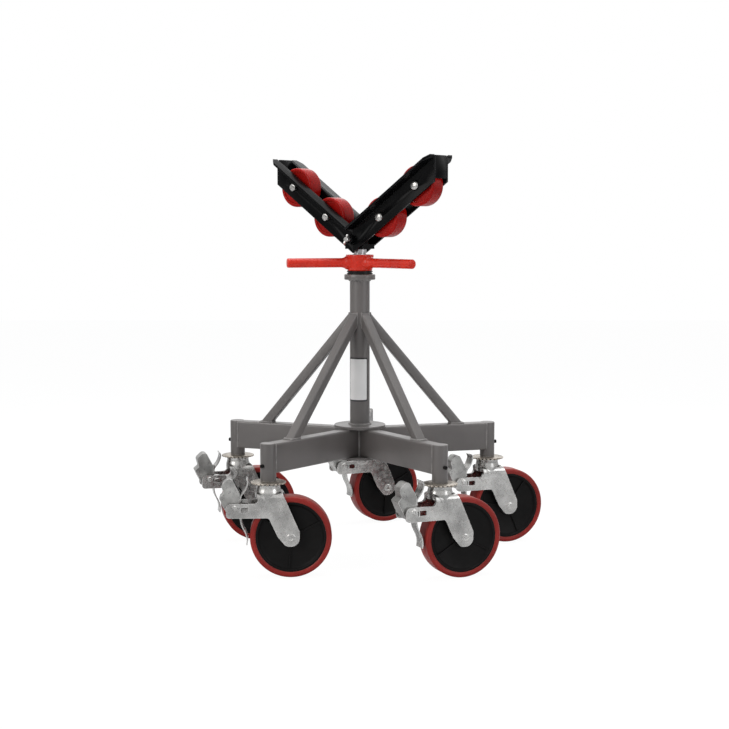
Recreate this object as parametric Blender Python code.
"""Pipe roller stand: a five-leg wheeled base, a jack screw with a cast handle nut,
and a V head with four rollers. Metres, +Z up, floor at Z = 0."""
import math

import bmesh
import bpy
from mathutils import Matrix, Vector

# Place of the column on the floor plan
COLUMN_X = -0.0200
COLUMN_Y = -0.0375

# Clearances
SEAT = 0.0003
RUNNING = 0.0004

# Base
LEG_COUNT = 5
FIRST_LEG_ANGLE = 87.3
SOCKET_RADIUS_ON_PLAN = 0.3715
LEG_WIDTH = 0.0381
LEG_HEIGHT = 0.0762
LEG_WALL = 0.0048
LEG_CORNER_R = 0.0050
SOCKET_D = 0.0405
COLLAR_HEIGHT = 0.0203
SOCKET_CAP = 0.008
SOCKET_PROUD = 0.0008
SET_SCREW_D = 0.010
SET_SCREW_REACH = 0.006
SET_SCREW_DROP = 0.056
HUB_PLATE_D = 0.140
UPPER_PLATE_T = 0.008
LOWER_PLATE_T = 0.006
COLUMN_D = 0.054
COLUMN_WALL = 0.0050
COLUMN_LENGTH = 0.480
FLANGE_D = 0.084
FLANGE_T = 0.0147
BEARING_D = 0.070
BEARING_T = 0.0090
BRACE_SIDE = 0.0254
BRACE_WALL = 0.0030
BRACE_CORNER_R = 0.0035
BRACE_FOOT_RADIUS = 0.295
BRACE_TOP_HEIGHT = 0.657
BADGE_WIDTH_ANGLE = 118.0
BADGE_TURN = 12.0
BADGE_HEIGHT = 0.120
BADGE_T = 0.0010
BADGE_LOW = 0.416

# Casters
SWIVELS = {"rear": 24.0, "left": 14.0, "front_left": 3.0, "front_right": 22.0, "right": 20.0}
WHEEL_STEPS = {"rear": 0, "left": 0, "front_left": 0, "front_right": -5, "right": -2}
WHEEL_D = 0.2090
WHEEL_WIDTH = 0.0508
TREAD_DEPTH = 0.0140
SHOULDER = 0.0050
WHEEL_FACETS = 28
CORE_INSET = 0.0025
CORE_DISH = 0.0075
CORE_RIM = 0.0080
HUB_D = 0.052
AXLE_D = 0.0159
AXLE_HEAD_D = 0.0230
AXLE_HEAD_T = 0.0030
RIB_COUNT = 3
RIB_WIDTH = 0.0030
TRAIL = 0.0570
FORK_GAP = 0.0570
FORK_T = 0.0050
FORK_SHOULDER = 0.0160
CHEEK_EYE_R = 0.0220
CROWN_CLEARANCE = 0.0048
CROWN_T = 0.0080
NECK_BACK = 0.0260
NECK_FRONT = 0.0330
CUP_D = 0.0680
CUP_HEIGHT = 0.0168
RING_D = 0.0910
RING_T = 0.0072
RING_TEETH = 24
TOOTH_DEPTH = 0.0032
STEM_D = 0.0280
STEM_LENGTH = 0.0800
ARM_REACH = 0.1070
ARM_TOP = 0.1934
ARM_HEIGHT = 0.0372
BRAKE_PIN_X = -0.0849
BRAKE_PIN_Z = 0.1823
BRAKE_PIN_D = 0.0100
RIVET_D = 0.0145
RIVET_T = 0.0025
WINDOW_X = -0.0635
WINDOW_Z = 0.1778
WINDOW_LENGTH = 0.0244
WINDOW_HEIGHT = 0.0130
PEDAL_WIDTH = 0.0480
PEDAL_WALL = 0.0036
LEAF_WIDTH = 0.0360
LEAF_T = 0.0030
LEAF_X = -0.0714
LEAF_TIP_Z = 0.2548
LEAF_HOOK_REACH = 0.0195
LEAF_HOOK_DROP = 0.0440
LEAF_FOOT_Z = 0.0838
LEAF_FOOT_REACH = 0.0170
LEAF_FOOT_RISE = 0.0680

# Jack
SCREW_D = 0.0380
SCREW_LOW = 0.2950
SCREW_NECK = 0.0150
STUD_D = 0.0318
STUD_LENGTH = 0.0450
NUT_D = 0.0710
NUT_HEIGHT = 0.0436
NUT_FOOT_D = 0.0660
NUT_RIM_D = 0.0750
ARM_BAR_D = 0.0254
ARM_BAR_REACH = 0.2008
ARM_BAR_ROUND = 0.0035
HANDLE_ANGLES = (-46.0, -166.0)

# V head
HEAD_TURN = 37.0
HEAD_SLOPE = 35.3
HEAD_HALF_SPAN = 0.2640
HEAD_DROP = 0.0110
WEB_DEPTH = 0.0571
WEB_T = 0.0060
HEAD_WIDTH = 0.0650
LIP_WIDTH = 0.0330
LIP_CORNER_R = 0.0120
END_PLATE_HEIGHT = 0.0610
ROLLER_D = 0.1070
ROLLER_WIDTH = 0.0480
ROLLER_EDGE = 0.0050
ROLLER_DISH = 0.0030
ROLLER_ALONG = (0.1280, 0.2690)
ROLLER_ABOVE_EDGE = 0.0276
BOLT_D = 0.0127
BOLT_HEAD_D = 0.0235
BOLT_HEAD_T = 0.0070
BOLT_SOCKET_AF = 0.0080
BOLT_SOCKET_DEPTH = 0.0040
BOLT_NUT_AF = 0.0185
BOLT_NUT_T = 0.0085
BOLT_END = 0.0030
SLEEVE_HEIGHT = 0.0490
SLEEVE_FOOT_HALF = 0.0300
SLEEVE_FOOT_T = 0.0120
CLAMP_Z = 0.0260
CLAMP_BOSS_D = 0.0220
CLAMP_BOSS_REACH = 0.0180
CLAMP_D = 0.0095
WING_HUB_D = 0.0150
WING_HUB_T = 0.0130
WING_SPAN = 0.0340
WING_T = 0.0035

# Heights that follow from the sizes above
WHEEL_R = WHEEL_D / 2
CROWN_TOP = WHEEL_D + CROWN_CLEARANCE + CROWN_T
CUP_TOP = CROWN_TOP + CUP_HEIGHT
RING_LOW = CUP_TOP + SEAT
RING_TOP = RING_LOW + RING_T
COLLAR_TOP = RING_TOP + COLLAR_HEIGHT
LEG_LOW = COLLAR_TOP + SEAT
LEG_TOP = LEG_LOW + LEG_HEIGHT
LOWER_PLATE_TOP = LEG_LOW - SEAT
COLUMN_LOW = LOWER_PLATE_TOP + SEAT
COLUMN_TOP = COLUMN_LOW + COLUMN_LENGTH
FLANGE_LOW = COLUMN_TOP + SEAT
FLANGE_TOP = FLANGE_LOW + FLANGE_T
BEARING_LOW = FLANGE_TOP + SEAT
BEARING_TOP = BEARING_LOW + BEARING_T
NUT_LOW = BEARING_TOP + SEAT
NUT_TOP = NUT_LOW + NUT_HEIGHT
SCREW_SHOULDER = NUT_TOP + SCREW_NECK
SLEEVE_LOW = SCREW_SHOULDER + SEAT
HEAD_LOW = SLEEVE_LOW - HEAD_DROP

WELD = 1e-6


def clear_scene():
    for item in list(bpy.data.objects):
        bpy.data.objects.remove(item, do_unlink=True)


def paint(name, colour, roughness, metallic):
    material = bpy.data.materials.new(name)
    material.use_nodes = True
    shader = material.node_tree.nodes["Principled BSDF"]
    shader.inputs["Base Color"].default_value = (*colour, 1.0)
    shader.inputs["Roughness"].default_value = roughness
    shader.inputs["Metallic"].default_value = metallic
    return material


def empty(name, parent=None, location=(0, 0, 0), turn=0.0):
    axis = bpy.data.objects.new(name, None)
    bpy.context.collection.objects.link(axis)
    axis.parent = parent
    axis.location = location
    axis.rotation_euler = (0, 0, math.radians(turn))
    return axis


def piece(name, mesh, material, parent, location=(0, 0, 0), rotation=(0, 0, 0), sharp=32.0):
    """One named node, made of a mesh that other nodes may share."""
    if not mesh.materials:
        mesh.materials.append(material)
    mesh.shade_smooth()
    mesh.set_sharp_from_angle(angle=math.radians(sharp))
    node = bpy.data.objects.new(name, mesh)
    bpy.context.collection.objects.link(node)
    node.parent = parent
    node.location = location
    node.rotation_euler = rotation
    return node


def as_mesh(bm, name):
    bmesh.ops.remove_doubles(bm, verts=bm.verts, dist=WELD)
    bmesh.ops.recalc_face_normals(bm, faces=bm.faces)
    mesh = bpy.data.meshes.new(name)
    bm.to_mesh(mesh)
    bm.free()
    return mesh


def lathe(name, profile, steps, closed=True):
    """A solid turned about Z from (radius, height) points. An open profile starts and ends on Z."""
    bm = bmesh.new()
    points = [bm.verts.new((radius, 0, height)) for radius, height in profile]
    edges = [bm.edges.new(pair) for pair in zip(points, points[1:])]
    if closed:
        edges.append(bm.edges.new((points[-1], points[0])))
    bmesh.ops.spin(bm, geom=points + edges, cent=(0, 0, 0), axis=(0, 0, 1),
                   angle=math.tau, steps=steps, use_merge=True)
    return as_mesh(bm, name)


def prism(name, outline, low, high):
    """An outline of (x, z) points, made solid from y = low to y = high."""
    bm = bmesh.new()
    face = bm.faces.new([bm.verts.new((x, low, z)) for x, z in outline])
    moved = bmesh.ops.extrude_face_region(bm, geom=[face])
    verts = [item for item in moved["geom"] if isinstance(item, bmesh.types.BMVert)]
    bmesh.ops.translate(bm, verts=verts, vec=(0, high - low, 0))
    return as_mesh(bm, name)


def block(name, low, high):
    """A box between two corners."""
    outline = ((low[0], low[2]), (high[0], low[2]), (high[0], high[2]), (low[0], high[2]))
    return prism(name, outline, low[1], high[1])


def rod(name, diameter, length, steps=20, axis="Z"):
    """A plain round bar, centred on the origin along one axis."""
    bm = bmesh.new()
    bmesh.ops.create_cone(bm, cap_ends=True, segments=steps, radius1=diameter / 2,
                          radius2=diameter / 2, depth=length)
    if axis == "Y":
        bmesh.ops.rotate(bm, verts=bm.verts, matrix=Matrix.Rotation(math.pi / 2, 3, "X"))
    if axis == "X":
        bmesh.ops.rotate(bm, verts=bm.verts, matrix=Matrix.Rotation(math.pi / 2, 3, "Y"))
    return as_mesh(bm, name)


def moved(mesh, matrix):
    mesh.transform(matrix)
    return mesh


def shifted(mesh, x=0.0, y=0.0, z=0.0):
    return moved(mesh, Matrix.Translation((x, y, z)))


def combined(name, base, *tools):
    """The base solid after Boolean steps, each an (operation, solid) pair."""
    body = bpy.data.objects.new(name, base)
    bpy.context.collection.objects.link(body)
    helpers = []
    for operation, mesh in tools:
        helper = bpy.data.objects.new(name + "_tool", mesh)
        helper.hide_render = True
        helper.display_type = "WIRE"
        bpy.context.collection.objects.link(helper)
        helpers.append(helper)
        step = body.modifiers.new(operation.lower(), "BOOLEAN")
        step.operation = operation
        step.solver = "EXACT"
        step.object = helper
    graph = bpy.context.evaluated_depsgraph_get()
    result = bpy.data.meshes.new_from_object(body.evaluated_get(graph))
    result.name = name
    for item in helpers + [body]:
        bpy.data.objects.remove(item, do_unlink=True)
    bm = bmesh.new()
    bm.from_mesh(result)
    bmesh.ops.dissolve_limit(bm, angle_limit=math.radians(0.1), verts=bm.verts, edges=bm.edges)
    if all(len(edge.link_faces) == 2 for edge in bm.edges):
        bm.to_mesh(result)
    bm.free()
    return result


def rounded(corners, steps=4):
    """An outline whose (x, z, radius) corners are rounded with arcs."""
    points = []
    for index, (x, z, radius) in enumerate(corners):
        here = Vector((x, z))
        if radius <= 0:
            points.append((x, z))
            continue
        back = (Vector(corners[index - 1][:2]) - here).normalized()
        ahead = (Vector(corners[(index + 1) % len(corners)][:2]) - here).normalized()
        half = back.angle(ahead) / 2
        centre = here + (back + ahead).normalized() * radius / math.sin(half)
        start = here + back * radius / math.tan(half) - centre
        end = here + ahead * radius / math.tan(half) - centre
        sweep = start.angle_signed(end)
        for step in range(steps + 1):
            turned = Matrix.Rotation(-sweep * step / steps, 2) @ start
            points.append(tuple(centre + turned))
    return points


def smooth_line(points, steps=3):
    """Points on a Catmull-Rom curve through the given (x, z) points."""
    line = []
    ends = [points[0]] + list(points) + [points[-1]]
    for a, b, c, d in zip(ends, ends[1:], ends[2:], ends[3:]):
        for step in range(steps):
            t = step / steps
            line.append(tuple(0.5 * (2 * q + (r - p) * t + (2 * p - 5 * q + 4 * r - s) * t * t
                                     + (3 * q - p - 3 * r + s) * t * t * t)
                              for p, q, r, s in zip(a, b, c, d)))
    line.append(tuple(points[-1]))
    return line


def band(line, thickness):
    """The outline of a strip of even thickness along a line of (x, z) points."""
    left = []
    right = []
    for index, (x, z) in enumerate(line):
        before = Vector(line[max(index - 1, 0)])
        after = Vector(line[min(index + 1, len(line) - 1)])
        along = (after - before).normalized()
        side = Vector((-along.y, along.x)) * thickness / 2
        left.append((x + side.x, z + side.y))
        right.append((x - side.x, z - side.y))
    return left + right[::-1]


# Base

def column_tube():
    outer = COLUMN_D / 2
    inner = outer - COLUMN_WALL
    return lathe("column", ((inner, COLUMN_LOW), (outer, COLUMN_LOW),
                            (outer, COLUMN_TOP), (inner, COLUMN_TOP)), 28)


def flange_ring():
    outer = FLANGE_D / 2
    inner = COLUMN_D / 2 - COLUMN_WALL
    edge = 0.0015
    return lathe("flange", ((inner, FLANGE_LOW), (outer - edge, FLANGE_LOW), (outer, FLANGE_LOW + edge),
                            (outer, FLANGE_TOP - edge), (outer - edge, FLANGE_TOP), (inner, FLANGE_TOP)), 28)


def bearing_ring():
    outer = BEARING_D / 2
    inner = SCREW_D / 2 + 2 * RUNNING
    third = BEARING_T / 3
    groove = 0.002
    return lathe("bearing", ((inner, BEARING_LOW), (outer, BEARING_LOW), (outer, BEARING_LOW + third),
                             (outer - groove, BEARING_LOW + third), (outer - groove, BEARING_TOP - third),
                             (outer, BEARING_TOP - third), (outer, BEARING_TOP), (inner, BEARING_TOP)), 20)


def upper_plate():
    low = LEG_TOP + SEAT
    inner = COLUMN_D / 2 + SEAT
    outer = HUB_PLATE_D / 2
    return lathe("upper_plate", ((inner, low), (outer, low), (outer, low + UPPER_PLATE_T),
                                 (inner, low + UPPER_PLATE_T)), 40)


def lower_plate():
    low = LOWER_PLATE_TOP - LOWER_PLATE_T
    outer = HUB_PLATE_D / 2
    return lathe("lower_plate", ((0, low), (outer, low), (outer, LOWER_PLATE_TOP), (0, LOWER_PLATE_TOP)),
                 40, closed=False)


def box_tube(name, start, end, half, low, high, corner):
    """A bar along X of rectangular section, with its four long edges rounded to the corner radius."""
    section = rounded(((-half, low, corner), (half, low, corner), (half, high, corner), (-half, high, corner)), 2)
    return moved(prism(name, section, -end, -start), Matrix.Rotation(math.pi / 2, 4, "Z"))


def leg_weldment():
    """A rectangular tube along +X with the caster socket and its set screw at the outer end."""
    half = LEG_WIDTH / 2
    inner_end = max(COLUMN_D / 2, half / math.tan(math.pi / LEG_COUNT)) + SEAT
    socket_x = SOCKET_RADIUS_ON_PLAN
    socket_r = SOCKET_D / 2
    bore_r = STEM_D / 2 + SEAT
    tube = box_tube("leg", inner_end, socket_x, half, LEG_LOW, LEG_TOP, LEG_CORNER_R)
    hollow = box_tube("leg_hollow", inner_end - LEG_WALL, socket_x - socket_r - LEG_WALL, half - LEG_WALL,
                      LEG_LOW + LEG_WALL, LEG_TOP - LEG_WALL, 0)
    cope = rod("cope", (socket_r + bore_r), 2 * LEG_TOP, 14)
    coped = combined("leg", tube, ("DIFFERENCE", hollow), ("DIFFERENCE", shifted(cope, socket_x)))
    top = LEG_TOP + SOCKET_PROUD
    bore_top = LEG_TOP - SOCKET_CAP
    socket = lathe("socket", ((0, bore_top), (bore_r, bore_top), (bore_r, LEG_LOW), (socket_r, LEG_LOW),
                              (socket_r, top), (0, top)), 20, closed=False)
    screw_length = socket_r - bore_r + SET_SCREW_REACH - SEAT
    screw_x = socket_x + socket_r + SET_SCREW_REACH - screw_length / 2
    screw = rod("set_screw", SET_SCREW_D, screw_length, 8, "X")
    return combined("leg", coped, ("UNION", shifted(socket, socket_x)),
                    ("UNION", shifted(screw, screw_x, 0, LEG_TOP - SET_SCREW_DROP)))


def brace_tube():
    """A square tube that leans from the top of a leg to the column, along +X."""
    foot_z = LEG_TOP + SEAT
    head_x = COLUMN_D / 2
    rise = BRACE_TOP_HEIGHT - foot_z
    run = BRACE_FOOT_RADIUS - head_x
    slope = math.atan2(rise, run)
    half = BRACE_SIDE / 2
    length = math.hypot(rise, run) / 2 + 2 * BRACE_SIDE
    middle = ((BRACE_FOOT_RADIUS + head_x) / 2 - half * math.sin(slope), 0,
              (BRACE_TOP_HEIGHT + foot_z) / 2 - half * math.cos(slope))
    lean = Matrix.Translation(middle) @ Matrix.Rotation(slope, 4, "Y")
    bar = moved(box_tube("brace", -length, length, half, -half, half, BRACE_CORNER_R), lean)
    inner = half - BRACE_WALL
    hollow = moved(box_tube("brace_hollow", -2 * length, 2 * length, inner, -inner, inner, 0), lean)
    reach = BRACE_FOOT_RADIUS + BRACE_SIDE
    below = block("below", (-reach, -BRACE_SIDE, 0), (2 * reach, BRACE_SIDE, foot_z))
    behind = block("behind", (-reach, -BRACE_SIDE, 0), (0, BRACE_SIDE, 2 * BRACE_TOP_HEIGHT))
    column = rod("column_cut", COLUMN_D + 2 * SEAT, 4 * BRACE_TOP_HEIGHT, 28)
    return combined("brace", bar, ("DIFFERENCE", hollow), ("DIFFERENCE", below), ("DIFFERENCE", behind),
                    ("DIFFERENCE", column))


def badge_plate():
    """A blank curved plate that lies on the front of the column."""
    inner = COLUMN_D / 2 + SEAT
    outer = inner + BADGE_T
    half = math.radians(BADGE_WIDTH_ANGLE) / 2
    steps = 10
    angles = [math.pi / 2 - half + 2 * half * step / steps for step in range(steps + 1)]
    outline = [(inner * math.cos(a), inner * math.sin(a)) for a in angles]
    outline += [(outer * math.cos(a), outer * math.sin(a)) for a in reversed(angles)]
    mesh = prism("badge", outline, BADGE_LOW, BADGE_LOW + BADGE_HEIGHT)
    turn = Matrix.Rotation(math.radians(-BADGE_TURN), 4, "Z")
    return moved(mesh, turn @ Matrix.Rotation(math.pi / 2, 4, "X"))


# Casters: local +X points from the stem's axis to the wheel's axle

def toothed_ring():
    """The fixed swivel plate with its lock teeth, the collar under the leg and the stem in the socket."""
    outer = RING_D / 2
    count = RING_TEETH * 2
    outline = []
    for step in range(count):
        radius = outer if step % 2 else outer - TOOTH_DEPTH
        for side in (-0.30, 0.30):
            angle = math.tau * (step + side) / count
            outline.append((radius * math.cos(angle), radius * math.sin(angle)))
    plate = moved(prism("ring", outline, 0, RING_T), Matrix.Rotation(math.pi / 2, 4, "X"))
    low = -RING_T / 2
    stem = lathe("stem", ((0, low), (SOCKET_D / 2, low), (SOCKET_D / 2, COLLAR_HEIGHT), (STEM_D / 2, COLLAR_HEIGHT),
                          (STEM_D / 2, STEM_LENGTH - 0.003), (STEM_D / 2 - 0.003, STEM_LENGTH), (0, STEM_LENGTH)),
                 20, closed=False)
    return combined("ring", shifted(plate, 0, 0, RING_LOW), ("UNION", shifted(stem, 0, 0, RING_TOP)))


def fork():
    """The stamped fork: a bent channel trimmed to its side view, with its bearing cup, axle and pin."""
    outer = FORK_GAP / 2 + FORK_T
    inner = FORK_GAP / 2
    low = WHEEL_R - 0.030
    crown = CROWN_TOP - CROWN_T
    bend = FORK_SHOULDER - FORK_T
    channel = rounded(((-outer, low, 0), (-outer, CROWN_TOP, FORK_SHOULDER), (outer, CROWN_TOP, FORK_SHOULDER),
                       (outer, low, 0), (inner, low, 0), (inner, crown, bend), (-inner, crown, bend),
                       (-inner, low, 0)), 3)
    long_way = moved(prism("channel", channel, -0.150, 0.120), Matrix.Rotation(math.pi / 2, 4, "Z"))
    arm_low = ARM_TOP - ARM_HEIGHT
    eye = CHEEK_EYE_R
    over = CROWN_TOP + SEAT
    side = rounded(((-NECK_BACK - 0.002, over, 0), (-NECK_BACK + 0.002, ARM_TOP, 0.009),
                    (-ARM_REACH, ARM_TOP, 0.012), (-ARM_REACH, arm_low, 0.010),
                    (0.001, arm_low, 0.008), (0.023, WHEEL_R + 0.004, 0.020),
                    (TRAIL - 0.012, WHEEL_R - eye, 0.014), (TRAIL + eye, WHEEL_R - eye, 0.020),
                    (TRAIL + eye, WHEEL_R + 0.016, 0.006), (NECK_FRONT + 0.008, ARM_TOP + 0.015, 0.020),
                    (NECK_FRONT + 0.001, over, 0.012)), 3)
    wide = 2 * outer
    cup = lathe("cup", ((0, CROWN_TOP - CROWN_T / 2), (CUP_D / 2 - 0.008, CROWN_TOP - CROWN_T / 2),
                        (CUP_D / 2 - 0.004, CROWN_TOP + 0.004), (CUP_D / 2, CUP_TOP - 0.005),
                        (CUP_D / 2, CUP_TOP), (0, CUP_TOP)), 18, closed=False)
    axle = shifted(rod("axle", AXLE_D, 2 * outer, 12, "Y"), TRAIL, 0, WHEEL_R)
    axle_head = shifted(rod("axle_head", AXLE_HEAD_D, 2 * (outer + AXLE_HEAD_T), 12, "Y"), TRAIL, 0, WHEEL_R)
    between = block("between", (TRAIL - AXLE_HEAD_D, -outer + FORK_T / 2, WHEEL_R - AXLE_HEAD_D),
                    (TRAIL + AXLE_HEAD_D, outer - FORK_T / 2, WHEEL_R + AXLE_HEAD_D))
    heads = combined("axle_heads", axle_head, ("DIFFERENCE", between), ("UNION", axle))
    pin = rod("pin", BRAKE_PIN_D, 2 * outer, 10, "Y")
    rivet = rod("rivet", RIVET_D, 2 * (outer + RIVET_T), 10, "Y")
    gap = block("gap", (-RIVET_D, -outer + FORK_T / 2, -RIVET_D), (RIVET_D, outer - FORK_T / 2, RIVET_D))
    rivets = combined("rivets", rivet, ("DIFFERENCE", gap), ("UNION", pin))
    window = block("window", (WINDOW_X - WINDOW_LENGTH / 2, -wide, WINDOW_Z - WINDOW_HEIGHT / 2),
                   (WINDOW_X + WINDOW_LENGTH / 2, wide, WINDOW_Z + WINDOW_HEIGHT / 2))
    return combined("fork", long_way, ("INTERSECT", prism("side", side, -wide, wide)),
                    ("UNION", cup), ("DIFFERENCE", window), ("UNION", heads),
                    ("UNION", shifted(rivets, BRAKE_PIN_X, 0, BRAKE_PIN_Z)))


def wheel_tread():
    outer = WHEEL_D / 2
    inner = outer - TREAD_DEPTH
    half = WHEEL_WIDTH / 2
    slope = SHOULDER * 0.3
    profile = ((inner, -half + slope), (outer - SHOULDER, -half), (outer, -half + SHOULDER),
               (outer, half - SHOULDER), (outer - SHOULDER, half), (inner, half - slope))
    return moved(lathe("tread", profile, WHEEL_FACETS), Matrix.Rotation(math.pi / 2, 4, "X"))


def wheel_core():
    """The moulded core: rim, dished web with radial ribs, hub and axle bore."""
    outer = WHEEL_D / 2 - TREAD_DEPTH - SEAT
    half = WHEEL_WIDTH / 2 - CORE_INSET
    dish = half - CORE_DISH
    hub = HUB_D / 2
    bore = AXLE_D / 2 + RUNNING
    end = FORK_GAP / 2 - SEAT
    rim = outer - CORE_RIM
    upper = ((bore, end), (hub, end), (hub, dish), (rim, dish), (outer, half))
    profile = upper + tuple((radius, -height) for radius, height in reversed(upper))
    core = moved(lathe("core", profile, WHEEL_FACETS), Matrix.Rotation(math.pi / 2, 4, "X"))
    ribs = []
    for index in range(RIB_COUNT):
        rib = block("rib", (hub - 0.002, -dish - CORE_DISH * 0.6, -RIB_WIDTH / 2),
                    (rim + CORE_RIM * 0.3, dish + CORE_DISH * 0.6, RIB_WIDTH / 2))
        angle = math.radians(-27) + math.tau * index / RIB_COUNT
        ribs.append(("UNION", moved(rib, Matrix.Rotation(angle, 4, "Y"))))
    return combined("core", core, *ribs)


def brake_pedal():
    """The foot lever: a channel open to the wheel, bored for the fork's pin. Origin on the pin."""
    half = PEDAL_WIDTH / 2
    outline = rounded(((-0.0170, 0.0755, 0.010), (-0.0065, 0.0730, 0.004), (0.0125, 0.0345, 0.004),
                       (0.0105, 0.0100, 0), (0.0100, -0.0060, 0), (0.0050, -0.0220, 0.003),
                       (-0.0150, -0.0230, 0.006), (-0.0290, 0.0010, 0.008), (-0.0400, 0.0250, 0.003),
                       (-0.0285, 0.0355, 0.002), (-0.0345, 0.0570, 0.008)), 2)
    shell = prism("pedal", outline, -half, half)
    wall = PEDAL_WALL
    inside = prism("pedal_inside", outline, wall - half, half - wall)
    boss = shifted(rod("pedal_bore", BRAKE_PIN_D + 2 * RUNNING, 2 * PEDAL_WIDTH, 10, "Y"))
    return combined("pedal", shell, ("DIFFERENCE", shifted(inside, wall * 1.25, 0, -wall)),
                    ("DIFFERENCE", boss))


def brake_leaf():
    """The lock strip: its tip meets the ring's teeth, its foot the tread, its tabs ride the windows."""
    x = LEAF_X
    tip = LEAF_TIP_Z
    hook = LEAF_HOOK_REACH
    drop = LEAF_HOOK_DROP
    heel = LEAF_FOOT_Z
    foot = LEAF_FOOT_REACH
    rise = LEAF_FOOT_RISE
    line = smooth_line(((x + 0.85 * hook, tip), (x + hook, tip - 0.25 * drop), (x + 0.67 * hook, tip - 0.66 * drop),
                        (x + 0.10 * hook, tip - drop), (x, tip - 1.34 * drop), (x, WINDOW_Z), (x, heel + rise),
                        (x + 0.24 * foot, heel + 0.74 * rise), (x + 0.79 * foot, heel + 0.44 * rise),
                        (x + foot, heel + 0.22 * rise), (x + 0.94 * foot, heel)), 2)
    strip = prism("leaf", band(line, LEAF_T), -LEAF_WIDTH / 2, LEAF_WIDTH / 2)
    reach = FORK_GAP / 2 + FORK_T
    height = WINDOW_HEIGHT / 2 - SEAT
    tabs = block("tabs", (x - LEAF_T / 2, -reach, WINDOW_Z - height), (x + LEAF_T / 2, reach, WINDOW_Z + height))
    return combined("leaf", strip, ("UNION", tabs))


# Jack

def handle_nut():
    """The cast nut: a turned hub with two round handles. Origin on the screw's axis."""
    bore = SCREW_D / 2 + RUNNING
    hub_r = NUT_D / 2
    rim_r = NUT_RIM_D / 2
    hub = lathe("nut", ((bore, NUT_LOW), (NUT_FOOT_D / 2, NUT_LOW), (NUT_FOOT_D / 2 + 0.001, NUT_LOW + 0.003),
                        (hub_r, NUT_LOW + 0.012), (hub_r, NUT_TOP - 0.010), (rim_r, NUT_TOP - 0.007),
                        (rim_r, NUT_TOP - 0.001), (rim_r - 0.001, NUT_TOP), (bore, NUT_TOP)), 28)
    bar_r = ARM_BAR_D / 2
    middle = (NUT_LOW + NUT_TOP) / 2
    start = SCREW_D / 2 + 0.004
    profile = ((0, start), (bar_r + 0.005, start), (bar_r + 0.005, hub_r - 0.002), (bar_r + 0.001, hub_r + 0.006),
               (bar_r, hub_r + 0.012), (bar_r, ARM_BAR_REACH - ARM_BAR_ROUND),
               (bar_r - ARM_BAR_ROUND * 0.3, ARM_BAR_REACH - ARM_BAR_ROUND * 0.3),
               (bar_r - ARM_BAR_ROUND, ARM_BAR_REACH), (0, ARM_BAR_REACH))
    arms = []
    for angle in HANDLE_ANGLES:
        arm = lathe("arm", profile, 14, closed=False)
        lay = Matrix.Rotation(math.radians(angle), 4, "Z") @ Matrix.Rotation(math.pi / 2, 4, "Y")
        arms.append(("UNION", moved(arm, Matrix.Translation((0, 0, middle)) @ lay)))
    return combined("nut", hub, *arms)


def jack_screw():
    body = SCREW_D / 2
    stud = STUD_D / 2
    top = SCREW_SHOULDER + STUD_LENGTH
    return lathe("screw", ((0, SCREW_LOW), (body - 0.003, SCREW_LOW), (body, SCREW_LOW + 0.003),
                           (body, SCREW_SHOULDER), (stud, SCREW_SHOULDER), (stud, top - 0.002),
                           (stud - 0.002, top), (0, top)), 24, closed=False)


# V head: local X runs along the V, Y along the rollers' axles

def head_sleeve():
    """The socket that turns on the stud, with its foot and the threaded boss of the wing screw."""
    outer = HEAD_WIDTH / 2 - WEB_T - SEAT
    bore = STUD_D / 2 + SEAT
    top = SLEEVE_LOW + SLEEVE_HEIGHT
    roof = SCREW_SHOULDER + STUD_LENGTH + SEAT
    tube = lathe("sleeve", ((0, roof), (bore, roof), (bore, SLEEVE_LOW), (outer, SLEEVE_LOW), (outer, top),
                            (0, top)), 24, closed=False)
    foot = block("foot", (-SLEEVE_FOOT_HALF, -outer, SLEEVE_LOW), (SLEEVE_FOOT_HALF, outer,
                                                                  SLEEVE_LOW + SLEEVE_FOOT_T))
    well = rod("well", STUD_D + 0.003, 2 * SLEEVE_FOOT_T + 0.002, 24)
    boss_end = -HEAD_WIDTH / 2 - CLAMP_BOSS_REACH
    boss_length = -boss_end - (bore + outer) / 2
    boss = shifted(rod("boss", CLAMP_BOSS_D, boss_length, 16, "Y"), 0, boss_end + boss_length / 2,
                   SLEEVE_LOW + CLAMP_Z)
    thread = shifted(rod("thread", CLAMP_D + 2 * SEAT, HEAD_WIDTH, 12, "Y"), 0,
                     boss_end + HEAD_WIDTH / 2 - 0.004, SLEEVE_LOW + CLAMP_Z)
    trimmed = combined("foot", foot, ("DIFFERENCE", shifted(well, 0, 0, SLEEVE_LOW)))
    return combined("sleeve", tube, ("UNION", trimmed), ("UNION", boss), ("DIFFERENCE", thread))


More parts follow.
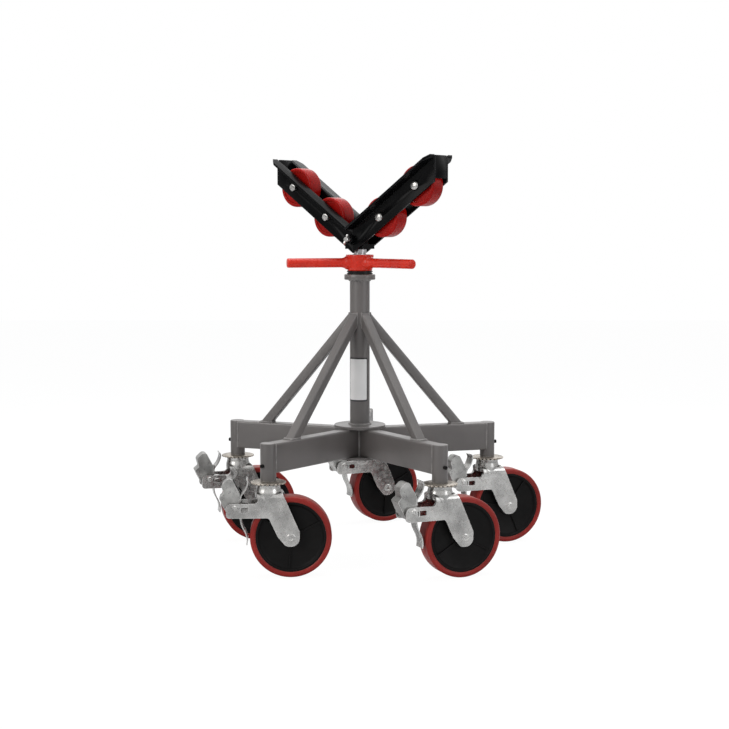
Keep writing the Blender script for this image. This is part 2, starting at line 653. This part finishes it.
def head_arm():
    """The right arm: two lipped side plates and an end plate, mitred at the middle of the V."""
    slope = math.radians(HEAD_SLOPE)
    rise = math.tan(slope)
    depth = WEB_DEPTH / math.cos(slope)
    lip = WEB_T / math.cos(slope)
    near = SEAT / 2
    far = HEAD_HALF_SPAN

    def strip(low, high):
        """The side view between two heights above the arm's lower edge."""
        return ((near, HEAD_LOW + near * rise + low), (far, HEAD_LOW + far * rise + low),
                (far, HEAD_LOW + far * rise + high), (near, HEAD_LOW + near * rise + high))

    half = HEAD_WIDTH / 2
    web = prism("web", strip(0, depth), -half, half)
    space = prism("space", strip(-depth, 2 * depth), WEB_T - half, half - WEB_T)
    shut = block("shut", (far - WEB_T, -half, HEAD_LOW - WEB_DEPTH),
                 (far + WEB_T, half, HEAD_LOW + far * rise + depth + WEB_DEPTH))
    room = combined("space", space, ("DIFFERENCE", shut))
    below = HEAD_LOW + far * rise + depth - END_PLATE_HEIGHT
    mouth = block("mouth", (far - 2 * WEB_T, WEB_T - half, below - depth), (far + WEB_T, half - WEB_T, below))
    edge = half + LIP_WIDTH
    lips = prism("lips", strip(depth - lip, depth), -edge - SEAT, edge + SEAT)
    lip_room = prism("lip_room", strip(-depth, 2 * depth), WEB_T - half, half - WEB_T)
    plan = rounded(((-SEAT, -edge, 0), (far, -edge, LIP_CORNER_R), (far, edge, LIP_CORNER_R), (-SEAT, edge, 0)), 4)
    trim = moved(prism("plan", plan, HEAD_LOW, HEAD_LOW + far + 2 * depth), Matrix.Rotation(math.pi / 2, 4, "X"))
    tools = [("UNION", combined("lips", lips, ("INTERSECT", trim), ("DIFFERENCE", lip_room))),
             ("DIFFERENCE", room), ("DIFFERENCE", mouth)]
    for along in ROLLER_ALONG:
        x, z = roller_axis(along)
        tools.append(("DIFFERENCE", shifted(rod("bolt_hole", BOLT_D + 2 * SEAT, 2 * HEAD_WIDTH, 12, "Y"),
                                            x, 0, z)))
    notch = rod("notch", CLAMP_BOSS_D + 2 * SEAT, HEAD_WIDTH, 20, "Y")
    tools.append(("DIFFERENCE", shifted(notch, 0, -half, SLEEVE_LOW + CLAMP_Z)))
    return combined("head_arm", web, *tools)


def roller_axis(along):
    """Where a roller's axle lies in the head's side view."""
    slope = math.radians(HEAD_SLOPE)
    x = along * math.cos(slope) - ROLLER_ABOVE_EDGE * math.sin(slope)
    z = HEAD_LOW + along * math.sin(slope) + ROLLER_ABOVE_EDGE * math.cos(slope)
    return x, z


def roller():
    outer = ROLLER_D / 2
    half = ROLLER_WIDTH / 2
    bore = BOLT_D / 2 + RUNNING
    edge = ROLLER_EDGE
    dish_r = outer - edge * 1.8
    upper = ((bore, half - ROLLER_DISH), (dish_r, half - ROLLER_DISH), (outer - edge, half), (outer, half - edge))
    profile = upper + tuple((radius, -height) for radius, height in reversed(upper))
    return moved(lathe("roller", profile, 24), Matrix.Rotation(math.pi / 2, 4, "X"))


def roller_bolt():
    """A round-headed socket bolt with a hexagon nut, outside both side plates. The head is at -Y."""
    face = HEAD_WIDTH / 2 + SEAT
    head_r = BOLT_HEAD_D / 2
    crown = BOLT_HEAD_T * 0.6
    dome = lathe("dome", ((0, 0), (head_r, 0), (head_r, BOLT_HEAD_T - crown), (head_r * 0.85, BOLT_HEAD_T - crown / 3),
                          (head_r * 0.55, BOLT_HEAD_T), (0, BOLT_HEAD_T)), 16, closed=False)
    moved(dome, Matrix.Translation((0, -face, 0)) @ Matrix.Rotation(math.pi / 2, 4, "X"))
    socket = rod("socket", BOLT_SOCKET_AF / math.cos(math.pi / 6), 2 * BOLT_SOCKET_DEPTH, 6, "Y")
    nut = rod("nut", BOLT_NUT_AF / math.cos(math.pi / 6), BOLT_NUT_T, 6, "Y")
    end = face + BOLT_NUT_T + BOLT_END
    shank = rod("shank", BOLT_D, end + face, 12, "Y")
    return combined("roller_bolt", shifted(shank, 0, (end - face) / 2, 0), ("UNION", dome),
                    ("UNION", shifted(nut, 0, face + BOLT_NUT_T / 2, 0)),
                    ("DIFFERENCE", shifted(socket, 0, -face - BOLT_HEAD_T, 0)))


def wing_screw():
    """The clamp screw that presses on the stud. Origin on its axis at the boss's face."""
    length = CLAMP_BOSS_REACH + HEAD_WIDTH / 2 - STUD_D / 2 - 2 * SEAT
    shank = shifted(rod("shank", CLAMP_D, length + WING_HUB_T / 2, 14, "Y"), 0,
                    (length - WING_HUB_T / 2) / 2, 0)
    hub = shifted(rod("hub", WING_HUB_D, WING_HUB_T, 16, "Y"), 0, -SEAT - WING_HUB_T / 2, 0)
    tip = WING_SPAN / 2
    root = SEAT + 0.002
    outline = rounded(((-tip, WING_HUB_T + 0.004, 0.004), (-tip, root + WING_HUB_T * 0.45, 0.003),
                       (-0.003, root, 0), (0.003, root, 0),
                       (tip, root + WING_HUB_T * 0.45, 0.003), (tip, WING_HUB_T + 0.004, 0.004),
                       (0.006, WING_HUB_T + 0.001, 0), (-0.006, WING_HUB_T + 0.001, 0)), 3)
    wings = moved(prism("wings", outline, -WING_T / 2, WING_T / 2), Matrix.Rotation(math.pi / 2, 4, "X"))
    turned = moved(wings, Matrix.Rotation(math.radians(-62), 4, "Y"))
    return combined("wing_screw", shank, ("UNION", hub), ("UNION", turned))


def build_base(stand, grey, black, zinc):
    piece("column_tube", column_tube(), grey, stand)
    piece("column_flange", flange_ring(), grey, stand)
    piece("thrust_bearing", bearing_ring(), black, stand)
    piece("upper_hub_plate", upper_plate(), grey, stand)
    piece("lower_hub_plate", lower_plate(), grey, stand)
    piece("blank_badge", badge_plate(), zinc, stand)
    leg = leg_weldment()
    brace = brace_tube()
    for index, place in enumerate(SWIVELS):
        turn = (0, 0, math.radians(FIRST_LEG_ANGLE + 360 * index / LEG_COUNT))
        piece(place + "_leg", leg, grey, stand, rotation=turn)
        piece(place + "_brace", brace, grey, stand, rotation=turn)


def build_casters(stand, zinc, red, core_black):
    ring_mesh = toothed_ring()
    fork_mesh = fork()
    tread_mesh = wheel_tread()
    core_mesh = wheel_core()
    pedal_mesh = brake_pedal()
    leaf_mesh = brake_leaf()
    for index, (place, swivel) in enumerate(SWIVELS.items()):
        angle = math.radians(FIRST_LEG_ANGLE + 360 * index / LEG_COUNT)
        spot = (SOCKET_RADIUS_ON_PLAN * math.cos(angle), SOCKET_RADIUS_ON_PLAN * math.sin(angle), 0)
        piece(place + "_swivel_ring", ring_mesh, zinc, stand, spot)
        axis = empty(place + "_swivel_axis", stand, spot, swivel)
        piece(place + "_fork", fork_mesh, zinc, axis)
        axle = empty(place + "_axle_axis", axis, (TRAIL, 0, WHEEL_R))
        axle.rotation_euler = (0, math.tau * WHEEL_STEPS[place] / WHEEL_FACETS, 0)
        piece(place + "_wheel_tread", tread_mesh, red, axle)
        piece(place + "_wheel_core", core_mesh, core_black, axle)
        piece(place + "_brake_pedal", pedal_mesh, zinc, axis, (BRAKE_PIN_X, 0, BRAKE_PIN_Z))
        piece(place + "_brake_leaf", leaf_mesh, zinc, axis)


def build_head(stand, black, roller_red, zinc):
    head = empty("head_axis", stand, turn=-HEAD_TURN)
    piece("head_sleeve", head_sleeve(), black, head)
    arm = head_arm()
    mirrored = arm.copy()
    mirrored.transform(Matrix.Scale(-1, 4, (1, 0, 0)))
    mirrored.flip_normals()
    piece("right_head_arm", arm, black, head)
    piece("left_head_arm", mirrored, black, head)
    roller_mesh = roller()
    bolt_mesh = roller_bolt()
    for side, sign in (("left", -1), ("right", 1)):
        for level, along in zip(("lower", "upper"), ROLLER_ALONG):
            x, z = roller_axis(along)
            piece(side + "_" + level + "_roller", roller_mesh, roller_red, head, (sign * x, 0, z))
            turn = (0, 0, math.pi if side == "left" else 0)
            piece(side + "_" + level + "_roller_bolt", bolt_mesh, zinc, head, (sign * x, 0, z), turn)
    clamp_face = -HEAD_WIDTH / 2 - CLAMP_BOSS_REACH
    piece("wing_screw", wing_screw(), zinc, head, (0, clamp_face, SLEEVE_LOW + CLAMP_Z))


def main():
    clear_scene()
    grey = paint("grey_paint", (0.165, 0.160, 0.158), 0.45, 0.0)
    black = paint("black_paint", (0.010, 0.010, 0.011), 0.30, 0.0)
    zinc = paint("zinc_plate", (0.60, 0.59, 0.56), 0.35, 1.0)
    steel = paint("screw_steel", (0.55, 0.55, 0.56), 0.30, 1.0)
    tread_red = paint("tread_red", (0.30, 0.020, 0.020), 0.45, 0.0)
    core_black = paint("core_black", (0.012, 0.012, 0.013), 0.50, 0.0)
    handle_red = paint("handle_red", (0.60, 0.045, 0.025), 0.40, 0.0)
    roller_red = paint("roller_red", (0.50, 0.012, 0.010), 0.30, 0.0)
    badge_white = paint("badge_white", (0.80, 0.80, 0.80), 0.40, 0.0)
    stand = empty("stand", location=(COLUMN_X, COLUMN_Y, 0))
    build_base(stand, grey, black, badge_white)
    build_casters(stand, zinc, tread_red, core_black)
    piece("handle_nut", handle_nut(), handle_red, stand)
    piece("jack_screw", jack_screw(), steel, stand)
    build_head(stand, black, roller_red, zinc)
    bpy.context.view_layer.update()
    nodes = [item for item in bpy.data.objects if item.type == "MESH"]
    print(len(nodes), "nodes")


main()
